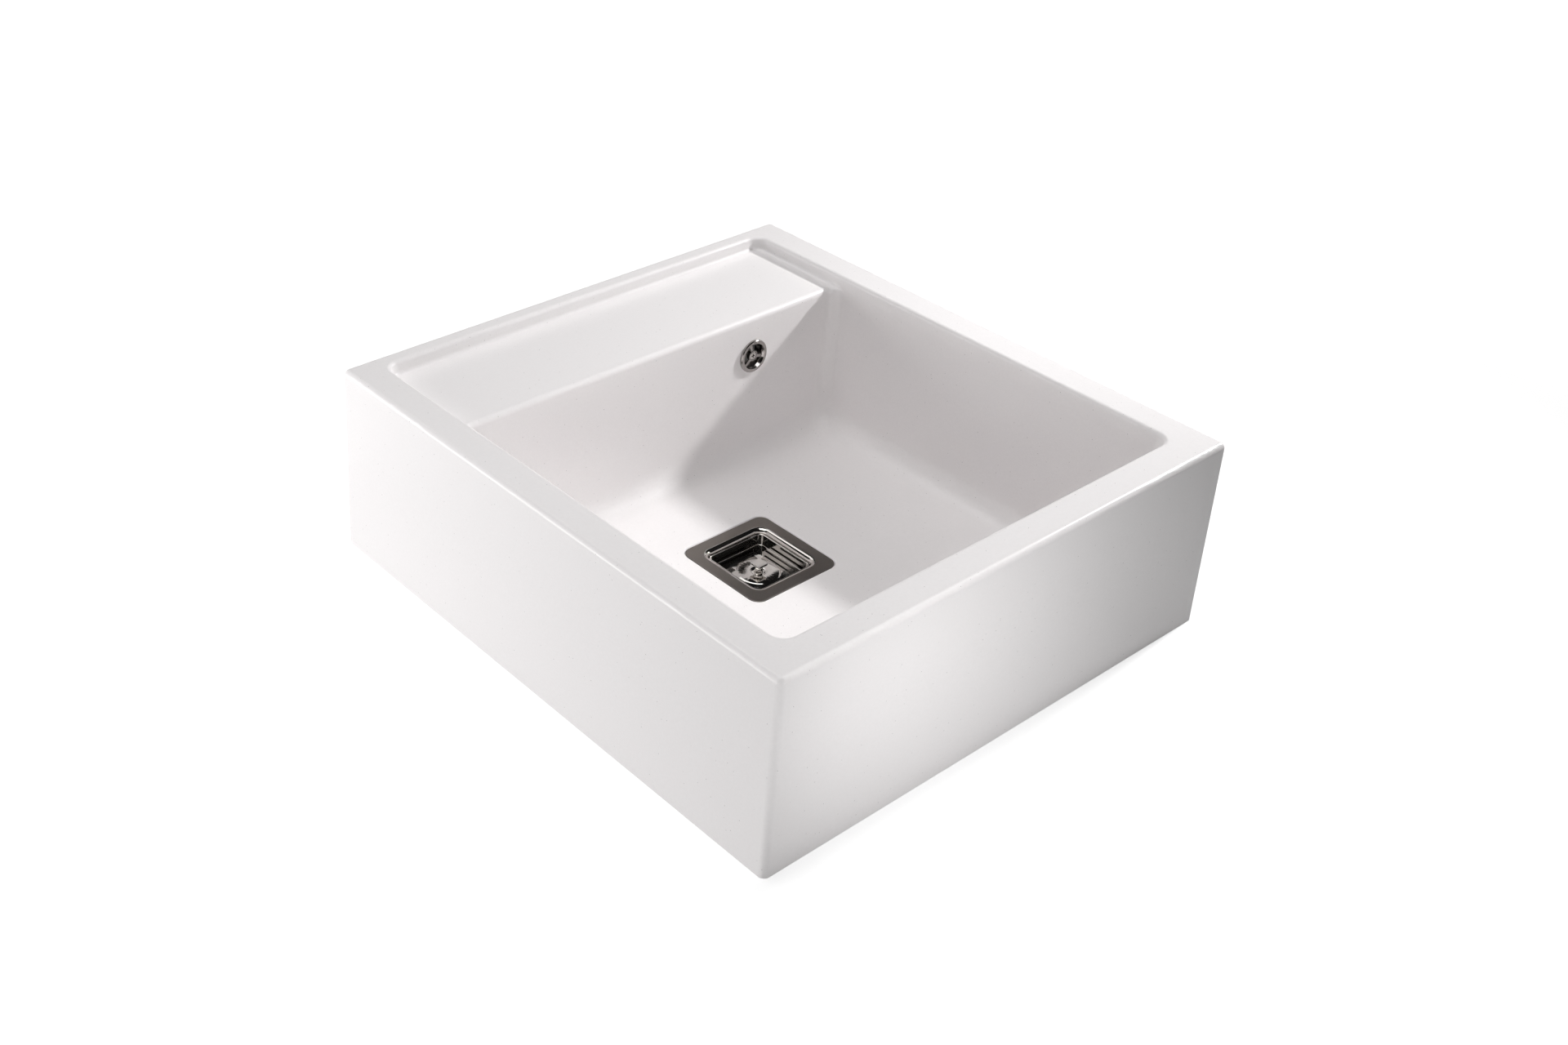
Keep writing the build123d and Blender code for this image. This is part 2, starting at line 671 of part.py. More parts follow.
# Waste body: flange and square cup, round chamber with a spider hub, overflow spigot and outlet
body_cup_outer = body_cup_size + 2 * body_wall
spigot_plane = Plane(origin=(0, drain_y, spigot_level), x_dir=route_normal, z_dir=toward_elbow)
with BuildPart() as waste_body:
    with BuildSketch(Plane((0, drain_y, body_top))):
        RectangleRounded(body_flange_size, body_flange_size, body_flange_corner)
    extrude(amount=-body_flange_thickness)
    with BuildSketch(Plane((0, drain_y, body_top))):
        RectangleRounded(body_cup_outer, body_cup_outer, body_cup_corner + body_wall)
    extrude(amount=body_cup_floor - body_wall - body_top)
    with BuildSketch(drain_section):
        with BuildLine():
            Polyline(
                (0, body_cup_floor),
                (chamber_radius + body_wall, body_cup_floor),
                (chamber_radius + body_wall, chamber_bottom),
                (outlet_thread_radius, outlet_top),
                (outlet_thread_radius, outlet_end),
                (0, outlet_end),
                close=True,
            )
        make_face()
    revolve(axis=drain_axis)
    with BuildSketch(spigot_plane):
        Circle(spigot_radius)
    extrude(amount=spigot_reach)
    with BuildSketch(Plane((0, drain_y, body_top))):
        RectangleRounded(body_cup_size, body_cup_size, body_cup_corner)
    extrude(amount=body_cup_floor - body_top, mode=Mode.SUBTRACT)
    with BuildSketch(drain_section):
        with BuildLine():
            Polyline(
                (0, body_cup_floor + cut_over),
                (chamber_radius, body_cup_floor + cut_over),
                (chamber_radius, chamber_bottom),
                (outlet_bore_radius, outlet_top),
                (outlet_bore_radius, outlet_end - cut_over),
                (0, outlet_end - cut_over),
                close=True,
            )
        make_face()
    revolve(axis=drain_axis, mode=Mode.SUBTRACT)
    with BuildSketch(spigot_plane):
        Circle(hose_bore_radius)
    extrude(amount=spigot_reach, mode=Mode.SUBTRACT)
    with BuildSketch(Plane((0, drain_y, hub_top))):
        Circle(hub_radius)
    extrude(amount=-hub_height)
    spider_reach = chamber_radius + body_wall / 2
    spider_angle = spigot_plane.z_dir.get_angle(Vector(1, 0, 0)) + 45
    with BuildSketch(Plane((0, drain_y, hub_top))):
        with PolarLocations(spider_reach / 2, 4, start_angle=spider_angle):
            Rectangle(spider_reach, spider_thickness)
    extrude(amount=chamber_bottom - hub_top)
    with BuildSketch(Plane((0, drain_y, hub_top))):
        Circle(screw_radius + screw_hole_gap)
    extrude(amount=-hub_height, mode=Mode.SUBTRACT)
    with BuildSketch(Plane((0, drain_y, hub_bottom))):
        Circle(insert_radius + thread_gap)
    extrude(amount=insert_length, mode=Mode.SUBTRACT)
waste_body.part.label = "waste_body"
export_step(waste_body.part, "parts/waste_body.step")

# Seal between the waste body and the underside of the bowl
body_seal_size = body_flange_size - 2 * body_seal_margin
body_seal_inner = body_seal_size - 2 * body_seal_width
with BuildPart() as body_seal:
    with BuildSketch(Plane((0, drain_y, shell_bottom))):
        RectangleRounded(body_seal_size, body_seal_size, body_flange_corner - body_seal_margin)
        RectangleRounded(body_seal_inner, body_seal_inner, body_cup_corner, mode=Mode.SUBTRACT)
    extrude(amount=-body_seal_thickness)
body_seal.part.label = "body_seal"
export_step(body_seal.part, "parts/body_seal.step")

# Overflow rosette: a flat bevelled ring, a conical throat with its tube, and three spokes to a boss
spoke_top = rosette_height - spoke_sink
boss_top = spoke_top + boss_rise
throat_end = rosette_height - rosette_cone_depth
tube_radius = rosette_throat_radius + rosette_sheet
with BuildPart() as overflow_rosette:
    with BuildSketch(overflow_section):
        with BuildLine():
            Polyline(
                (rosette_radius, 0),
                (rosette_radius, rosette_height - rosette_bevel),
                (rosette_radius - rosette_bevel, rosette_height),
                (rosette_face_radius, rosette_height),
                (rosette_throat_radius, throat_end),
                (rosette_throat_radius, -rosette_tube_length),
                (tube_radius, -rosette_tube_length),
                (tube_radius, throat_end),
                (rosette_face_radius, rosette_height - rosette_sheet),
                (rosette_radius - rosette_sheet, rosette_height - rosette_sheet),
                (rosette_radius - rosette_sheet, 0),
                close=True,
            )
        make_face()
    revolve(axis=overflow_axis)
    with BuildSketch(overflow_plane.offset(spoke_top)):
        with PolarLocations(tube_radius / 2, spoke_count, start_angle=spoke_angle):
            Rectangle(tube_radius, spoke_width)
    extrude(amount=-spoke_thickness)
    with BuildSketch(overflow_plane.offset(boss_top)):
        Circle(boss_radius)
    extrude(amount=-boss_height)
    with BuildSketch(overflow_plane.offset(boss_top)):
        Circle(boss_dish_radius)
    extrude(amount=-boss_dish_depth, mode=Mode.SUBTRACT)
    with BuildSketch(overflow_plane.offset(boss_top)):
        Circle(overflow_screw_hole)
    extrude(amount=-boss_height, mode=Mode.SUBTRACT)
overflow_rosette.part.label = "overflow_rosette"
export_step(overflow_rosette.part, "parts/overflow_rosette.step")

# Cross-head screw through the rosette into the elbow
screw_seat = boss_top - boss_dish_depth
overflow_screw_top = screw_seat + overflow_screw_head_height
with BuildPart() as overflow_screw:
    with BuildSketch(overflow_plane.offset(screw_seat)):
        Circle(overflow_screw_head_radius)
    extrude(amount=overflow_screw_head_height)
    head_edge = overflow_screw.edges().filter_by(GeomType.CIRCLE)
    fillet(head_edge.sort_by(Axis(overflow_plane.origin, overflow_plane.z_dir))[-1], overflow_screw_edge)
    with BuildSketch(overflow_plane.offset(screw_seat)):
        Circle(overflow_screw_radius)
    extrude(amount=-overflow_screw_length)
    with BuildSketch(overflow_plane.offset(overflow_screw_top)):
        Rectangle(cross_length, cross_width)
        Rectangle(cross_width, cross_length)
    extrude(amount=-cross_depth, mode=Mode.SUBTRACT)
overflow_screw.part.label = "overflow_screw"
export_step(overflow_screw.part, "parts/overflow_screw.step")

# Seal between the back of the bowl wall and the elbow's flange
with BuildPart() as overflow_seal:
    with BuildSketch(overflow_plane.offset(-wall_back)):
        Circle(overflow_seal_radius)
        Circle(elbow_bore_radius, mode=Mode.SUBTRACT)
    extrude(amount=-overflow_seal_thickness)
overflow_seal.part.label = "overflow_seal"
export_step(overflow_seal.part, "parts/overflow_seal.step")

# Overflow elbow behind the wall: flange, closed chamber with a screw boss, and a spigot down
elbow_front = wall_back + overflow_seal_thickness
chamber_end = elbow_outlet_back + elbow_bore_radius
with BuildPart() as overflow_elbow:
    with BuildSketch(overflow_plane.offset(-elbow_front)):
        Circle(elbow_flange_radius)
    extrude(amount=-elbow_flange_thickness)
    with BuildSketch(overflow_plane.offset(-elbow_front)):
        Circle(elbow_bore_radius + elbow_wall)
    extrude(amount=elbow_front - chamber_end - elbow_wall)
    with BuildSketch(Plane((elbow_outlet.X, elbow_outlet.Y, outlet_level))):
        Circle(spigot_radius)
    extrude(amount=elbow_outlet_drop)
    with BuildSketch(overflow_plane.offset(-elbow_front)):
        Circle(elbow_bore_radius)
    extrude(amount=elbow_front - chamber_end, mode=Mode.SUBTRACT)
    with BuildSketch(Plane((elbow_outlet.X, elbow_outlet.Y, outlet_level))):
        Circle(hose_bore_radius)
    extrude(amount=elbow_outlet_drop, mode=Mode.SUBTRACT)
    with BuildSketch(overflow_plane.offset(-elbow_boss_start)):
        Circle(elbow_boss_radius)
    extrude(amount=elbow_boss_start - chamber_end)
    with BuildSketch(overflow_plane.offset(-elbow_boss_start)):
        Circle(overflow_insert_radius + thread_gap)
    extrude(amount=-overflow_insert_length, mode=Mode.SUBTRACT)
    with BuildSketch(overflow_plane.offset(-elbow_boss_start - overflow_insert_length)):
        Circle(overflow_screw_hole)
    extrude(amount=-elbow_pilot_depth, mode=Mode.SUBTRACT)
overflow_elbow.part.label = "overflow_elbow"
export_step(overflow_elbow.part, "parts/overflow_elbow.step")

# Brass insert in the elbow's boss
with BuildPart() as overflow_insert:
    with BuildSketch(overflow_plane.offset(-elbow_boss_start)):
        Circle(overflow_insert_radius)
        Circle(overflow_screw_radius + thread_gap, mode=Mode.SUBTRACT)
    extrude(amount=-overflow_insert_length)
overflow_insert.part.label = "overflow_insert"
export_step(overflow_insert.part, "parts/overflow_insert.step")

# Route of the overflow hose: straight down, one round bend, then level to the waste body
hose_top = outlet_level - hose_seal_thickness
fall_run = hose_top - spigot_level - hose_bend_radius
bend_run = pi / 2 * hose_bend_radius
level_run = axis_distance - hose_bend_radius - spigot_reach - hose_seal_thickness
hose_length = fall_run + bend_run + level_run
rib_count = int((hose_length - 2 * hose_cuff_length) / hose_rib_pitch)
first_rib = (hose_length - rib_count * hose_rib_pitch) / 2
print(f"hose {hose_length:.1f} mm long with {rib_count} ribs, bend radius {hose_bend_radius:.0f} mm")


def hose_plane(travel):
    """Plane square to the hose's route at a distance along it from its upper end."""
    turn = min(max(travel - fall_run, 0), bend_run) / hose_bend_radius
    fall = min(travel, fall_run) + hose_bend_radius * sin(turn)
    along = hose_bend_radius * (1 - cos(turn)) + max(travel - fall_run - bend_run, 0)
    place = Vector(elbow_outlet.X, elbow_outlet.Y, hose_top - fall) - toward_elbow * along
    heading = Vector(0, 0, -cos(turn)) - toward_elbow * sin(turn)
    return Plane(origin=place, x_dir=route_normal, z_dir=heading)


# Overflow hose: thin ribbed tube with plain cuffs and an end collar behind each nut
with BuildPart() as overflow_hose:
    with BuildSketch(hose_plane(0)):
        Circle(hose_root_radius)
    for rib in range(rib_count):
        valley = first_rib + rib * hose_rib_pitch
        crest_start = valley + hose_valley_length + hose_flank_length
        crest_end = valley + hose_rib_pitch - hose_flank_length
        with BuildSketch(hose_plane(valley)):
            Circle(hose_root_radius)
        with BuildSketch(hose_plane(valley + hose_valley_length)):
            Circle(hose_root_radius)
        with BuildSketch(hose_plane(crest_start)):
            Circle(hose_crest_radius)
        with BuildSketch(hose_plane(crest_end)):
            Circle(hose_crest_radius)
    with BuildSketch(hose_plane(first_rib + rib_count * hose_rib_pitch)):
        Circle(hose_root_radius)
    with BuildSketch(hose_plane(hose_length)):
        Circle(hose_root_radius)
    loft(ruled=True)
    with BuildSketch(hose_plane(0)):
        Circle(hose_collar_radius)
    extrude(amount=hose_collar_length)
    with BuildSketch(hose_plane(hose_length)):
        Circle(hose_collar_radius)
    extrude(amount=-hose_collar_length)
    with BuildLine() as hose_route:
        Line(hose_plane(0).origin, hose_plane(fall_run).origin)
        ThreePointArc(
            hose_plane(fall_run).origin,
            hose_plane(fall_run + bend_run / 2).origin,
            hose_plane(fall_run + bend_run).origin,
        )
        Line(hose_plane(fall_run + bend_run).origin, hose_plane(hose_length).origin)
    with BuildSketch(hose_plane(0)):
        Circle(hose_bore_radius)
    sweep(path=hose_route.wires()[0], mode=Mode.SUBTRACT)
overflow_hose.part.label = "overflow_hose"
export_step(overflow_hose.part, "parts/overflow_hose.step")

# At each end of the hose a seal meets the spigot, and a grooved nut holds the collar to it
upper_end = hose_plane(0)
lower_end = Plane(hose_plane(hose_length).origin, x_dir=route_normal, z_dir=toward_elbow)
for end_name, end_plane in (("upper", upper_end), ("lower", lower_end)):
    with BuildPart() as hose_seal:
        with BuildSketch(end_plane):
            Circle(hose_collar_radius)
            Circle(hose_bore_radius, mode=Mode.SUBTRACT)
        extrude(amount=-hose_seal_thickness)
    hose_seal.part.label = f"hose_seal_{end_name}"
    export_step(hose_seal.part, f"parts/hose_seal_{end_name}.step")

    nut_end = hose_collar_length + nut_lip_length
    with BuildPart() as hose_nut:
        with BuildSketch(end_plane.offset(nut_end)):
            Circle(nut_radius)
            with PolarLocations(nut_radius + nut_grip_radius - nut_grip_depth, nut_grip_count):
                Circle(nut_grip_radius, mode=Mode.SUBTRACT)
            Circle(hose_crest_radius + nut_gap, mode=Mode.SUBTRACT)
        extrude(amount=-nut_length)
        with BuildSketch(end_plane.offset(hose_collar_length)):
            Circle(spigot_radius + nut_gap)
        extrude(amount=-nut_length, mode=Mode.SUBTRACT)
    hose_nut.part.label = f"hose_nut_{end_name}"
    export_step(hose_nut.part, f"parts/hose_nut_{end_name}.step")
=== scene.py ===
# %% [markdown]
# # An apron-front composite sink, dressed for its portrait
#
# The construction of this sink is already settled: every solid piece stands at its real size
# in one shared frame, in metres. This lesson gives those pieces their looks. It loads the
# frame first, because everything else takes its place from it.

# %% Load the frame
import bmesh
import bpy
import json
from math import radians
from mathutils import Euler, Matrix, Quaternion, Vector


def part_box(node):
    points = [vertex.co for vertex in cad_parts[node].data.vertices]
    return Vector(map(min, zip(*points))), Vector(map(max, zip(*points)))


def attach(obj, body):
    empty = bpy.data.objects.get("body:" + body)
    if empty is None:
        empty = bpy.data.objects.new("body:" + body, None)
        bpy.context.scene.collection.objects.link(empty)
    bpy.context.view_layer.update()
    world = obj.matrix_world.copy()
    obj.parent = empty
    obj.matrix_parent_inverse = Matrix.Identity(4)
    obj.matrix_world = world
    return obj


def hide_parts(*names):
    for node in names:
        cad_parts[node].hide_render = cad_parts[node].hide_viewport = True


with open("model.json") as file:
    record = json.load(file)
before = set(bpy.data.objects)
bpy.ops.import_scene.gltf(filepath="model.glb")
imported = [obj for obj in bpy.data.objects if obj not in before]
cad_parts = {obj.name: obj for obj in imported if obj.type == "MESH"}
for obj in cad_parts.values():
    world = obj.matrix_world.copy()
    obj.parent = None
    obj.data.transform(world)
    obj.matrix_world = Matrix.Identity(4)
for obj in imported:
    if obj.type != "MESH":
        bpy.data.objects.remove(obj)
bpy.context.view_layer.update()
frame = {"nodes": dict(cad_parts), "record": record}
record = frame["record"]
body_of_node = {
    node: body for body, members in record["behaviour"]["bodies"].items() for node in members
}
slot_of_node = {part["node"]: part["material_slot"] for part in record["subparts"]}
print(len(frame["nodes"]), "construction pieces loaded")

# %% [markdown]
# ## The camera
#
# The photograph looks down on the sink from the front left. Its lens, place and direction were
# worked out from the sink's straight edges, and the frame was cropped a little off the lens's
# axis, which a shifted lens repeats.

# %% Camera
camera_azimuth = 40.11
camera_elevation = 32.56
camera_roll = 1.41
camera_data = bpy.data.cameras.new("portrait_camera")
camera_data.lens = 42.0075
camera_data.sensor_width = 36.0
camera_data.shift_x = 0.11344
camera_data.shift_y = -0.02339
camera = bpy.data.objects.new("portrait_camera", camera_data)
camera.location = (-1.1252, -1.0831, 1.1013)
tilt = Euler((radians(90 - camera_elevation), 0, radians(-camera_azimuth))).to_quaternion()
camera.rotation_mode = "QUATERNION"
camera.rotation_quaternion = tilt @ Quaternion((0, 0, 1), radians(camera_roll))
scene = bpy.context.scene
scene.collection.objects.link(camera)
scene.camera = camera
scene.view_settings.view_transform = "Standard"
print("camera at", [round(value, 3) for value in camera.location])

# %% [markdown]
# ## Colours and nodes
#
# Paint and plastic colours are written the way designers write them, as sRGB hex, while
# Blender's shaders work in linear light. One function turns the first into the second. A second
# one adds a shader node with its settings and its links, so that a finish reads as a short list.


# %% Colour and node helpers
def linear(hex_code):
    """Linear RGBA of an sRGB colour such as "f2f0ee"."""
    shares = [int(hex_code[start:start + 2], 16) / 255 for start in (0, 2, 4)]
    curve = [s / 12.92 if s <= 0.04045 else ((s + 0.055) / 1.055) ** 2.4 for s in shares]
    return (*curve, 1.0)


def add_node(tree, kind, settings=None, **links):
    """Add a node. A link's value is another node's output or a plain number or colour."""
    node = tree.nodes.new(kind)
    for name, value in (settings or {}).items():
        setattr(node, name, value)
    for name, value in links.items():
        key = int(name[1:]) if name[0] == "i" and name[1:].isdigit() else name.replace("_", " ")
        if isinstance(value, bpy.types.NodeSocket):
            tree.links.new(value, node.inputs[key])
        else:
            node.inputs[key].default_value = value
    return node


def new_finish(name):
    """A material with its shader, its node tree and the piece's own coordinates."""
    finish = bpy.data.materials.new(name)
    finish.use_nodes = True
    tree = finish.node_tree
    shader = tree.nodes["Principled BSDF"]
    place = add_node(tree, "ShaderNodeTexCoord").outputs["Object"]
    return finish, tree, shader, place


print("colour check", [round(value, 3) for value in linear("808080")])

# %% [markdown]
# ## Granite composite
#
# The sink is cast from quartz and granite grain in acrylic resin. Its skin is satin: broad soft
# highlights, a very faint mottling from the grain, and a few dark grains that show as specks
# half to two thirds of a millimetre wide. The specks are cells of a Voronoi pattern. A surface
# cuts only some of them, so cells of 7.6 mm leave specks 20 to 30 mm apart.

# %% Granite composite finish
speck_cell = 0.0076
speck_radius = 0.00034
speck_core, speck_edge = 0.6, 1.3
speck_cover = 0.75
mottle_size = 0.0022
skin_grain_size = 1 / 700
composite, tree, shader, place = new_finish("satin_granite_composite")
grain = add_node(tree, "ShaderNodeTexNoise", Vector=place, Scale=1 / mottle_size, Detail=3.0)
ground = add_node(tree, "ShaderNodeValToRGB", Fac=grain.outputs["Fac"])
ground.color_ramp.elements[0].color = linear("f2efef")
ground.color_ramp.elements[0].position = 0.3
ground.color_ramp.elements[1].color = linear("f5f2f2")
ground.color_ramp.elements[1].position = 0.7
cells = add_node(tree, "ShaderNodeTexVoronoi", Vector=place, Scale=1 / speck_cell)
speck = add_node(
    tree, "ShaderNodeMapRange", Value=cells.outputs["Distance"],
    From_Min=speck_core * speck_radius / speck_cell,
    From_Max=speck_edge * speck_radius / speck_cell,
    To_Min=speck_cover, To_Max=0.0,
)
speckled = add_node(
    tree, "ShaderNodeMix", {"data_type": "RGBA"}, Factor=speck.outputs["Result"],
    i6=ground.outputs["Color"], i7=linear("5a5753"),
)
tree.links.new(speckled.outputs[2], shader.inputs["Base Color"])
gloss = add_node(
    tree, "ShaderNodeMapRange", Value=grain.outputs["Fac"], To_Min=0.30, To_Max=0.40,
)
tree.links.new(gloss.outputs["Result"], shader.inputs["Roughness"])
skin_grain = add_node(
    tree, "ShaderNodeTexNoise", Vector=place, Scale=1 / skin_grain_size, Detail=2.0,
)
relief = add_node(
    tree, "ShaderNodeBump", Strength=0.05, Distance=0.0001, Height=skin_grain.outputs["Fac"],
)
tree.links.new(relief.outputs["Normal"], shader.inputs["Normal"])
shader.inputs["IOR"].default_value = 1.5
print("composite with specks", round(2000 * speck_radius, 2), "mm wide")

# %% [markdown]
# ## Stainless steel
#
# The waste's flat ring is brushed stainless steel, and its rolled edge, the basket and
# the knob are polished. Brushing leaves fine parallel scratches, which stretch a reflection
# across them: a noise pattern, long in one direction and very fine in the other, drives the
# roughness. An anisotropic shader would stretch highlights too, but it shows no single mark.
# Real marks are a few hundredths of a millimetre wide, too fine to show, so they are drawn
# 0.22 mm wide. Polished steel keeps only faint wipe marks. The overflow's ring is between the
# two, satin, so its cone throws a broad highlight.

# %% Brushed and polished steel finishes
scratch_width = 0.00022
scratch_length = 0.03


def scratches(tree, place):
    """Noise stretched into brush marks along x."""
    fine, long = 1 / scratch_width, 1 / scratch_length
    stretch = add_node(tree, "ShaderNodeMapping", Vector=place, Scale=(long, fine, fine))
    return add_node(
        tree, "ShaderNodeTexNoise", Vector=stretch.outputs["Vector"], Scale=1.0, Detail=2.0,
    ).outputs["Fac"]


def steel(name, colour, roughness, spread):
    """A stainless finish: colour, its roughness and how far scratches spread it."""
    finish, tree, shader, place = new_finish(name)
    marks = scratches(tree, place)
    rough = add_node(
        tree, "ShaderNodeMapRange", Value=marks,
        To_Min=roughness - spread, To_Max=roughness + spread,
    )
    tree.links.new(rough.outputs["Result"], shader.inputs["Roughness"])
    shader.inputs["Base Color"].default_value = linear(colour)
    shader.inputs["Metallic"].default_value = 1.0
    return finish


brushed_steel = steel("brushed_stainless_steel", "a6a29e", 0.32, 0.07)
polished_steel = steel("polished_stainless_steel", "cfccc8", 0.07, 0.02)
satin_steel = steel("satin_stainless_steel", "b2aeab", 0.17, 0.03)
print("steel finishes:", brushed_steel.name, polished_steel.name, satin_steel.name)

# %% [markdown]
# ## The flange's two finishes
#
# The flange is one pressing with a brushed flat ring and a polished roll and well. The ring's
# inner edge is a square with rounded corners. How far a point lies outside the square between
# the centres of those corners tells which finish it has. Two materials split along a row of
# faces would also do, but a pattern lets one finish run softly into the other. The same pattern
# also paints shade on the ring: its steel colour is darker than the roll's, standing in for the
# dark room that the brushed ring reflects.

# %% Flange steel: brushed ring, polished roll and well
flange_low, flange_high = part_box("waste_flange")
drain = (flange_low + flange_high) / 2
roll_edge = 0.0445
roll_corner = 0.0135
roll_straight = roll_edge - roll_corner
finish_change = 0.0006
polished_roughness = 0.09
flange_steel, tree, shader, place = new_finish("part_brushed_flange_steel")
centred = add_node(
    tree, "ShaderNodeMapping", Vector=place, Location=(-drain.x, -drain.y, 0), Scale=(1, 1, 0),
)
outward = add_node(
    tree, "ShaderNodeVectorMath", {"operation": "ABSOLUTE"}, i0=centred.outputs["Vector"],
)
past = add_node(
    tree, "ShaderNodeVectorMath", {"operation": "SUBTRACT"},
    i0=outward.outputs["Vector"], i1=(roll_straight, roll_straight, 0),
)
past = add_node(
    tree, "ShaderNodeVectorMath", {"operation": "MAXIMUM"}, i0=past.outputs["Vector"], i1=(0, 0, 0),
)
reach = add_node(
    tree, "ShaderNodeVectorMath", {"operation": "LENGTH"}, i0=past.outputs["Vector"],
)
on_ring = add_node(
    tree, "ShaderNodeMapRange", Value=reach.outputs["Value"],
    From_Min=roll_corner - finish_change, From_Max=roll_corner + finish_change,
)
marks = scratches(tree, place)
ring_rough = add_node(tree, "ShaderNodeMapRange", Value=marks, To_Min=0.26, To_Max=0.42)
rough = add_node(
    tree, "ShaderNodeMix", {"data_type": "FLOAT"}, Factor=on_ring.outputs["Result"],
    i2=polished_roughness, i3=ring_rough.outputs["Result"],
)
tree.links.new(rough.outputs[0], shader.inputs["Roughness"])
depth = add_node(
    tree, "ShaderNodeMath", {"operation": "MULTIPLY"}, i0=marks, i1=on_ring.outputs["Result"],
)
relief = add_node(
    tree, "ShaderNodeBump", Strength=0.3, Distance=0.00002, Height=depth.outputs["Value"],
)
tree.links.new(relief.outputs["Normal"], shader.inputs["Normal"])
# Painted shade: the ring's steel colour is darkened to stand in for the dark room it reflects.
tone = add_node(
    tree, "ShaderNodeMix", {"data_type": "RGBA"}, Factor=on_ring.outputs["Result"],
    i6=linear("c8c4c0"), i7=linear("8a847f"),
)
tree.links.new(tone.outputs[2], shader.inputs["Base Color"])
shader.inputs["Metallic"].default_value = 1.0
print("flange finish changes", round(1000 * roll_edge, 1), "mm from the drain's centre")

# %% [markdown]
# ## Moulded plastics, rubber and brass
#
# Below the sink the waste body and elbow are injection-moulded polypropylene, the nuts are a
# glossier black plastic, the seals are matt rubber and the inserts are turned brass. Each shows
# the way it was made: a moulding has a low orange-peel ripple, rubber has a dusty variation of
# tone, and turned brass has fine rings.


# %% Plastics, rubber and brass
def moulded(name, dark, light, roughness, ripple, ripple_size):
    """A moulded finish between two tones, with a ripple of a real size."""
    finish, tree, shader, place = new_finish(name)
    noise = add_node(tree, "ShaderNodeTexNoise", Vector=place, Scale=1 / ripple_size, Detail=4.0)
    tone = add_node(tree, "ShaderNodeValToRGB", Fac=noise.outputs["Fac"])
    tone.color_ramp.elements[0].color = linear(dark)
    tone.color_ramp.elements[1].color = linear(light)
    tree.links.new(tone.outputs["Color"], shader.inputs["Base Color"])
    rough = add_node(
        tree, "ShaderNodeMapRange", Value=noise.outputs["Fac"],
        To_Min=roughness - 0.06, To_Max=roughness + 0.06,
    )
    tree.links.new(rough.outputs["Result"], shader.inputs["Roughness"])
    relief = add_node(
        tree, "ShaderNodeBump", Strength=ripple, Distance=0.0002, Height=noise.outputs["Fac"],
    )
    tree.links.new(relief.outputs["Normal"], shader.inputs["Normal"])
    return finish, shader


waste_plastic, _ = moulded("moulded_polypropylene", "dcdbd8", "e6e5e2", 0.42, 0.15, 0.004)
hose_plastic, _ = moulded("ribbed_polypropylene", "d3d2cf", "deddda", 0.48, 0.12, 0.003)
nut_plastic, _ = moulded("glossy_nut_plastic", "1d1d1e", "262627", 0.28, 0.10, 0.003)
seal_rubber, _ = moulded("matt_seal_rubber", "161616", "232221", 0.78, 0.30, 0.0012)
insert_brass, brass_shader = moulded("turned_brass", "b18a3c", "c79f4f", 0.26, 0.10, 0.0008)
brass_shader.inputs["Metallic"].default_value = 1.0
finish_of_slot = {
    "granite_composite": composite,
    "brushed_steel": brushed_steel,
    "polished_steel": polished_steel,
    "seal_rubber": seal_rubber,
    "waste_plastic": waste_plastic,
    "nut_plastic": nut_plastic,
    "hose_plastic": hose_plastic,
    "insert_brass": insert_brass,
}
print(len(finish_of_slot), "finishes")

# %% [markdown]
# ## Smooth skins for the constructed pieces
#
# A construction mesh is loose triangles, so light breaks at every one of them. Its own mesh is
# left alone. A copy of it is merged into one surface, its crisp edges are marked by angle, and
# normals weighted by face area keep flat walls flat right up to their rounded edges.

# %% Skins
merge_distance = 0.000002
crisp_angle = radians(32)
wide_face_weight = 80


def skin_of(node):
    """A merged, smoothly shaded copy of a construction piece, which stands for it."""
    shape = bmesh.new()
    shape.from_mesh(frame["nodes"][node].data)
    bmesh.ops.remove_doubles(shape, verts=shape.verts, dist=merge_distance)
    bmesh.ops.recalc_face_normals(shape, faces=shape.faces)
    for edge in shape.edges:
        edge.smooth = len(edge.link_faces) == 2 and edge.calc_face_angle() < crisp_angle
    for face in shape.faces:
        face.smooth = True
        face.material_index = 0
    mesh = bpy.data.meshes.new(node + "_skin")
    shape.to_mesh(mesh)
    shape.free()
    piece = bpy.data.objects.new(node + "_skin", mesh)
    scene.collection.objects.link(piece)
    mesh.materials.append(finish_of_slot[slot_of_node[node]])
    weighted = piece.modifiers.new("weighted_normals", "WEIGHTED_NORMAL")
    weighted.keep_sharp = True
    weighted.weight = wide_face_weight
    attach(piece, body_of_node[node])
    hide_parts(node)
    return piece


skins = {node: skin_of(node) for node in sorted(frame["nodes"])}
skins["waste_flange"].data.materials[0] = flange_steel
skins["overflow_rosette"].data.materials[0] = satin_steel
print(len(skins), "skins,", sum(len(piece.data.polygons) for piece in skins.values()), "faces")

# %% [markdown]
# ## The studio
#
# The sink stands on a pale floor that runs to white behind it. The waste hangs below the
# skirts, so the floor has an opening under the sink, as a cabinet has. To the camera and in
# reflections the floor adds light of its own, more of it further away, which turns it white and
# leaves the sink's shadow on it as a faint grey. The floor ends 14 m away, and a view from low
# down also sees the dark room above that edge.

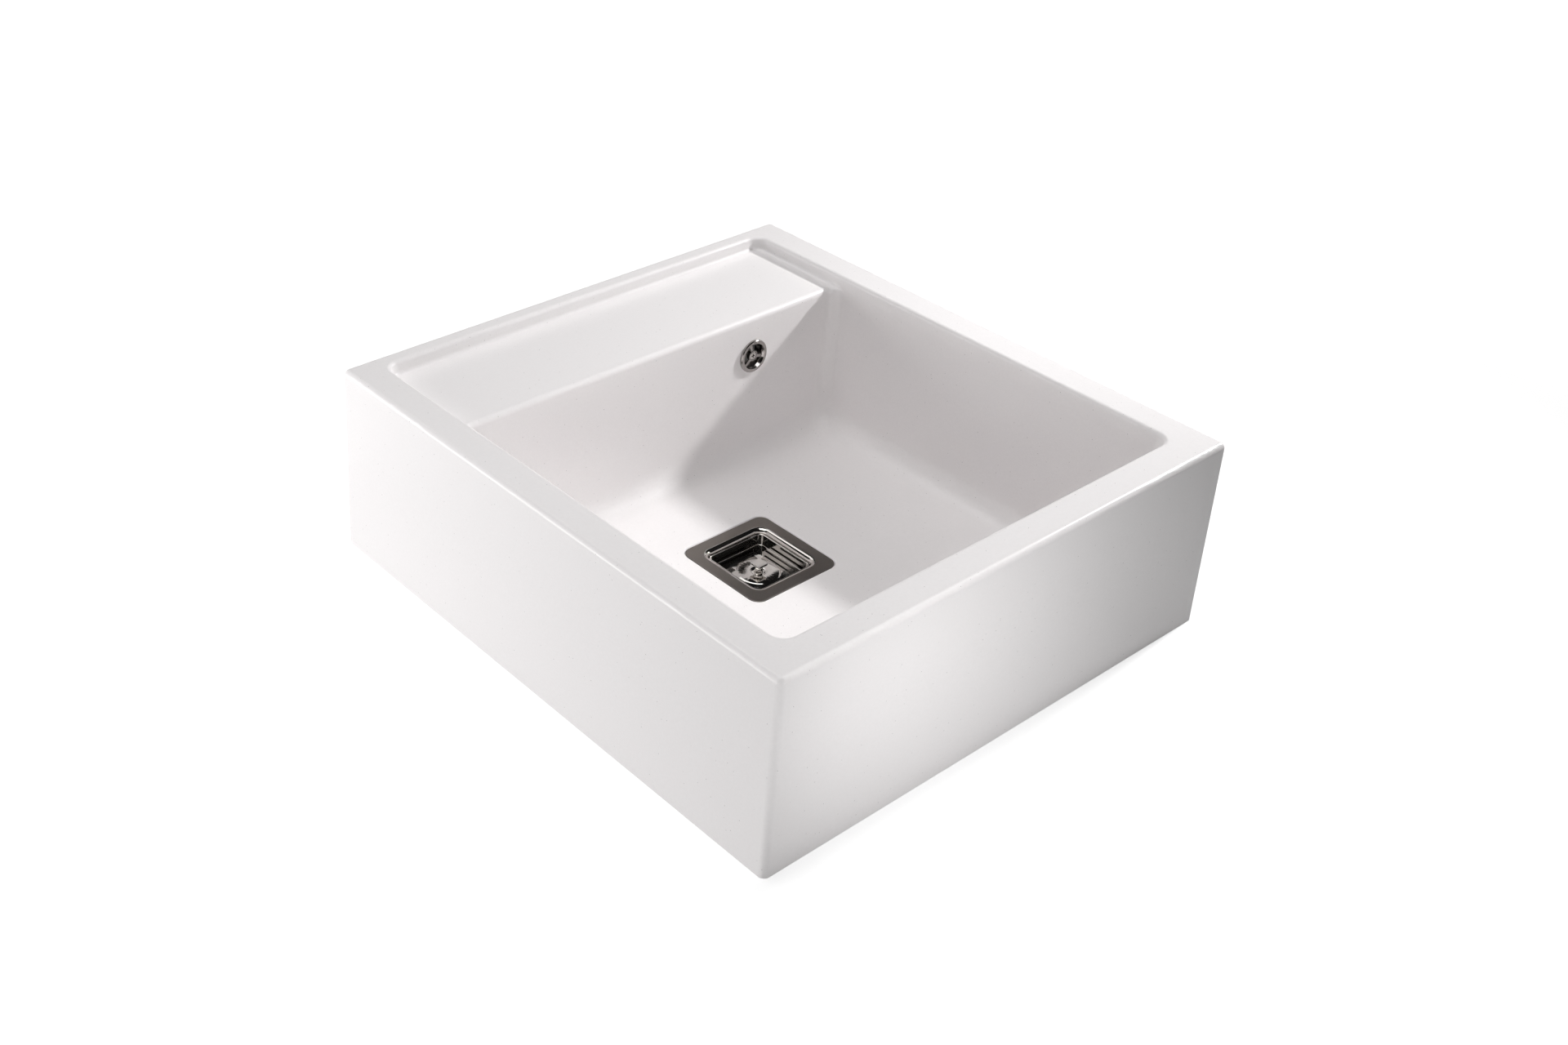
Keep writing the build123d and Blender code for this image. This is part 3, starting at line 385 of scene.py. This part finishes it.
# %% Floor
floor_reach = 14.0
opening_half = Vector((0.27, 0.29))
near_reach, far_reach = 0.5, 2.0
near_glow, far_glow = 0.69, 1.0
shape = bmesh.new()
bmesh.ops.create_grid(shape, x_segments=1, y_segments=1, size=floor_reach)
bmesh.ops.inset_individual(shape, faces=shape.faces[:], thickness=floor_reach / 2)
middle = min(shape.faces, key=lambda face: face.calc_center_median().length)
for vert in middle.verts:
    vert.co.x = opening_half.x if vert.co.x > 0 else -opening_half.x
    vert.co.y = opening_half.y if vert.co.y > 0 else -opening_half.y
bmesh.ops.delete(shape, geom=[middle], context="FACES_ONLY")
floor_mesh = bpy.data.meshes.new("studio_floor")
shape.to_mesh(floor_mesh)
shape.free()
floor = bpy.data.objects.new("studio_floor", floor_mesh)
scene.collection.objects.link(floor)
floor_finish, tree, shader, place = new_finish("pale_studio_floor")
shader.inputs["Base Color"].default_value = linear("c4c4c4")
shader.inputs["Roughness"].default_value = 0.9
shader.inputs["Specular IOR Level"].default_value = 0.0
rays = add_node(tree, "ShaderNodeLightPath")
seen = add_node(
    tree, "ShaderNodeMath", {"operation": "MAXIMUM"},
    i0=rays.outputs["Is Camera Ray"], i1=rays.outputs["Is Glossy Ray"],
)
seen = add_node(
    tree, "ShaderNodeMath", {"operation": "MAXIMUM"},
    i0=seen.outputs["Value"], i1=rays.outputs["Is Transmission Ray"],
)
distance = add_node(tree, "ShaderNodeVectorMath", {"operation": "LENGTH"}, i0=place)
glow = add_node(
    tree, "ShaderNodeMapRange", Value=distance.outputs["Value"],
    From_Min=near_reach, From_Max=far_reach, To_Min=near_glow, To_Max=far_glow,
)
lift = add_node(
    tree, "ShaderNodeMath", {"operation": "MULTIPLY"},
    i0=seen.outputs["Value"], i1=glow.outputs["Result"],
)
tree.links.new(lift.outputs["Value"], shader.inputs["Emission Strength"])
shader.inputs["Emission Color"].default_value = (1, 1, 1, 1)
floor_mesh.materials.append(floor_finish)
print("floor reaches", floor_reach, "m")

# %% [markdown]
# ## The lights
#
# Polished steel is dark unless it has something bright to show, and in the portrait it is dark
# with crisp bright bands: a dim room with a few softboxes. A small key light low over the right
# rim leaves the diagonal shade in the bowl. Two low softboxes at the left light the left skirt,
# more at its back than at its front corner. Three small ones at the front fade along the apron,
# two of them so low that they reach only the top of the bowl's back wall over the rim. One
# under the floor lights the underside through the opening.

# %% World and softboxes
world = bpy.data.worlds.new("dim_studio")
world.use_nodes = True
world.node_tree.nodes["Background"].inputs["Color"].default_value = (1, 0.99, 0.98, 1)
world.node_tree.nodes["Background"].inputs["Strength"].default_value = 0.01
scene.world = world
bowl_middle = (0, 0, 0.1)
apron_middle = (-0.08, -0.32, 0.14)


def softbox(name, place, width, height, power, aim=bowl_middle, spread=180):
    """An area light that faces its aim. Its power is in watts and its spread in degrees."""
    lamp = bpy.data.lights.new(name, "AREA")
    lamp.shape = "RECTANGLE"
    lamp.size = width
    lamp.size_y = height
    lamp.energy = power
    lamp.spread = radians(spread)
    holder = bpy.data.objects.new(name, lamp)
    holder.location = place
    holder.rotation_euler = (Vector(aim) - Vector(place)).to_track_quat("-Z", "Y").to_euler()
    scene.collection.objects.link(holder)
    return holder


softbox("key_light", (1.45, -0.22, 1.05), 0.11, 0.11, 4.1, (-0.15, 0.02, 0.1), 75)
softbox("overhead_softbox", (-0.3, 0.3, 2.8), 1.8, 1.8, 33.5)
softbox("back_softbox", (0.2, 1.8, 2.2), 1.6, 1.2, 9.2)
softbox("left_back_softbox", (-1.2, 1.1, 0.3), 0.9, 0.5, 6.6)
softbox("low_left_softbox", (-1.7, 0.55, 0.12), 1.4, 0.22, 11.8)
softbox("front_softbox", (-0.4, -1.2, 0.5), 0.4, 0.4, 0.19, apron_middle, 40)
softbox("apron_softbox", (-0.3, -1.1, 0.22), 0.35, 0.16, 0.20, apron_middle, 50)
softbox("apron_edge_softbox", (-0.22, -0.95, 0.27), 0.25, 0.12, 0.06, (-0.22, -0.32, 0.20), 42)
softbox("cabinet_softbox", (0.25, -0.35, -0.9), 0.8, 0.8, 9.0)
print("lights:", sorted(lamp.name for lamp in bpy.data.lights))
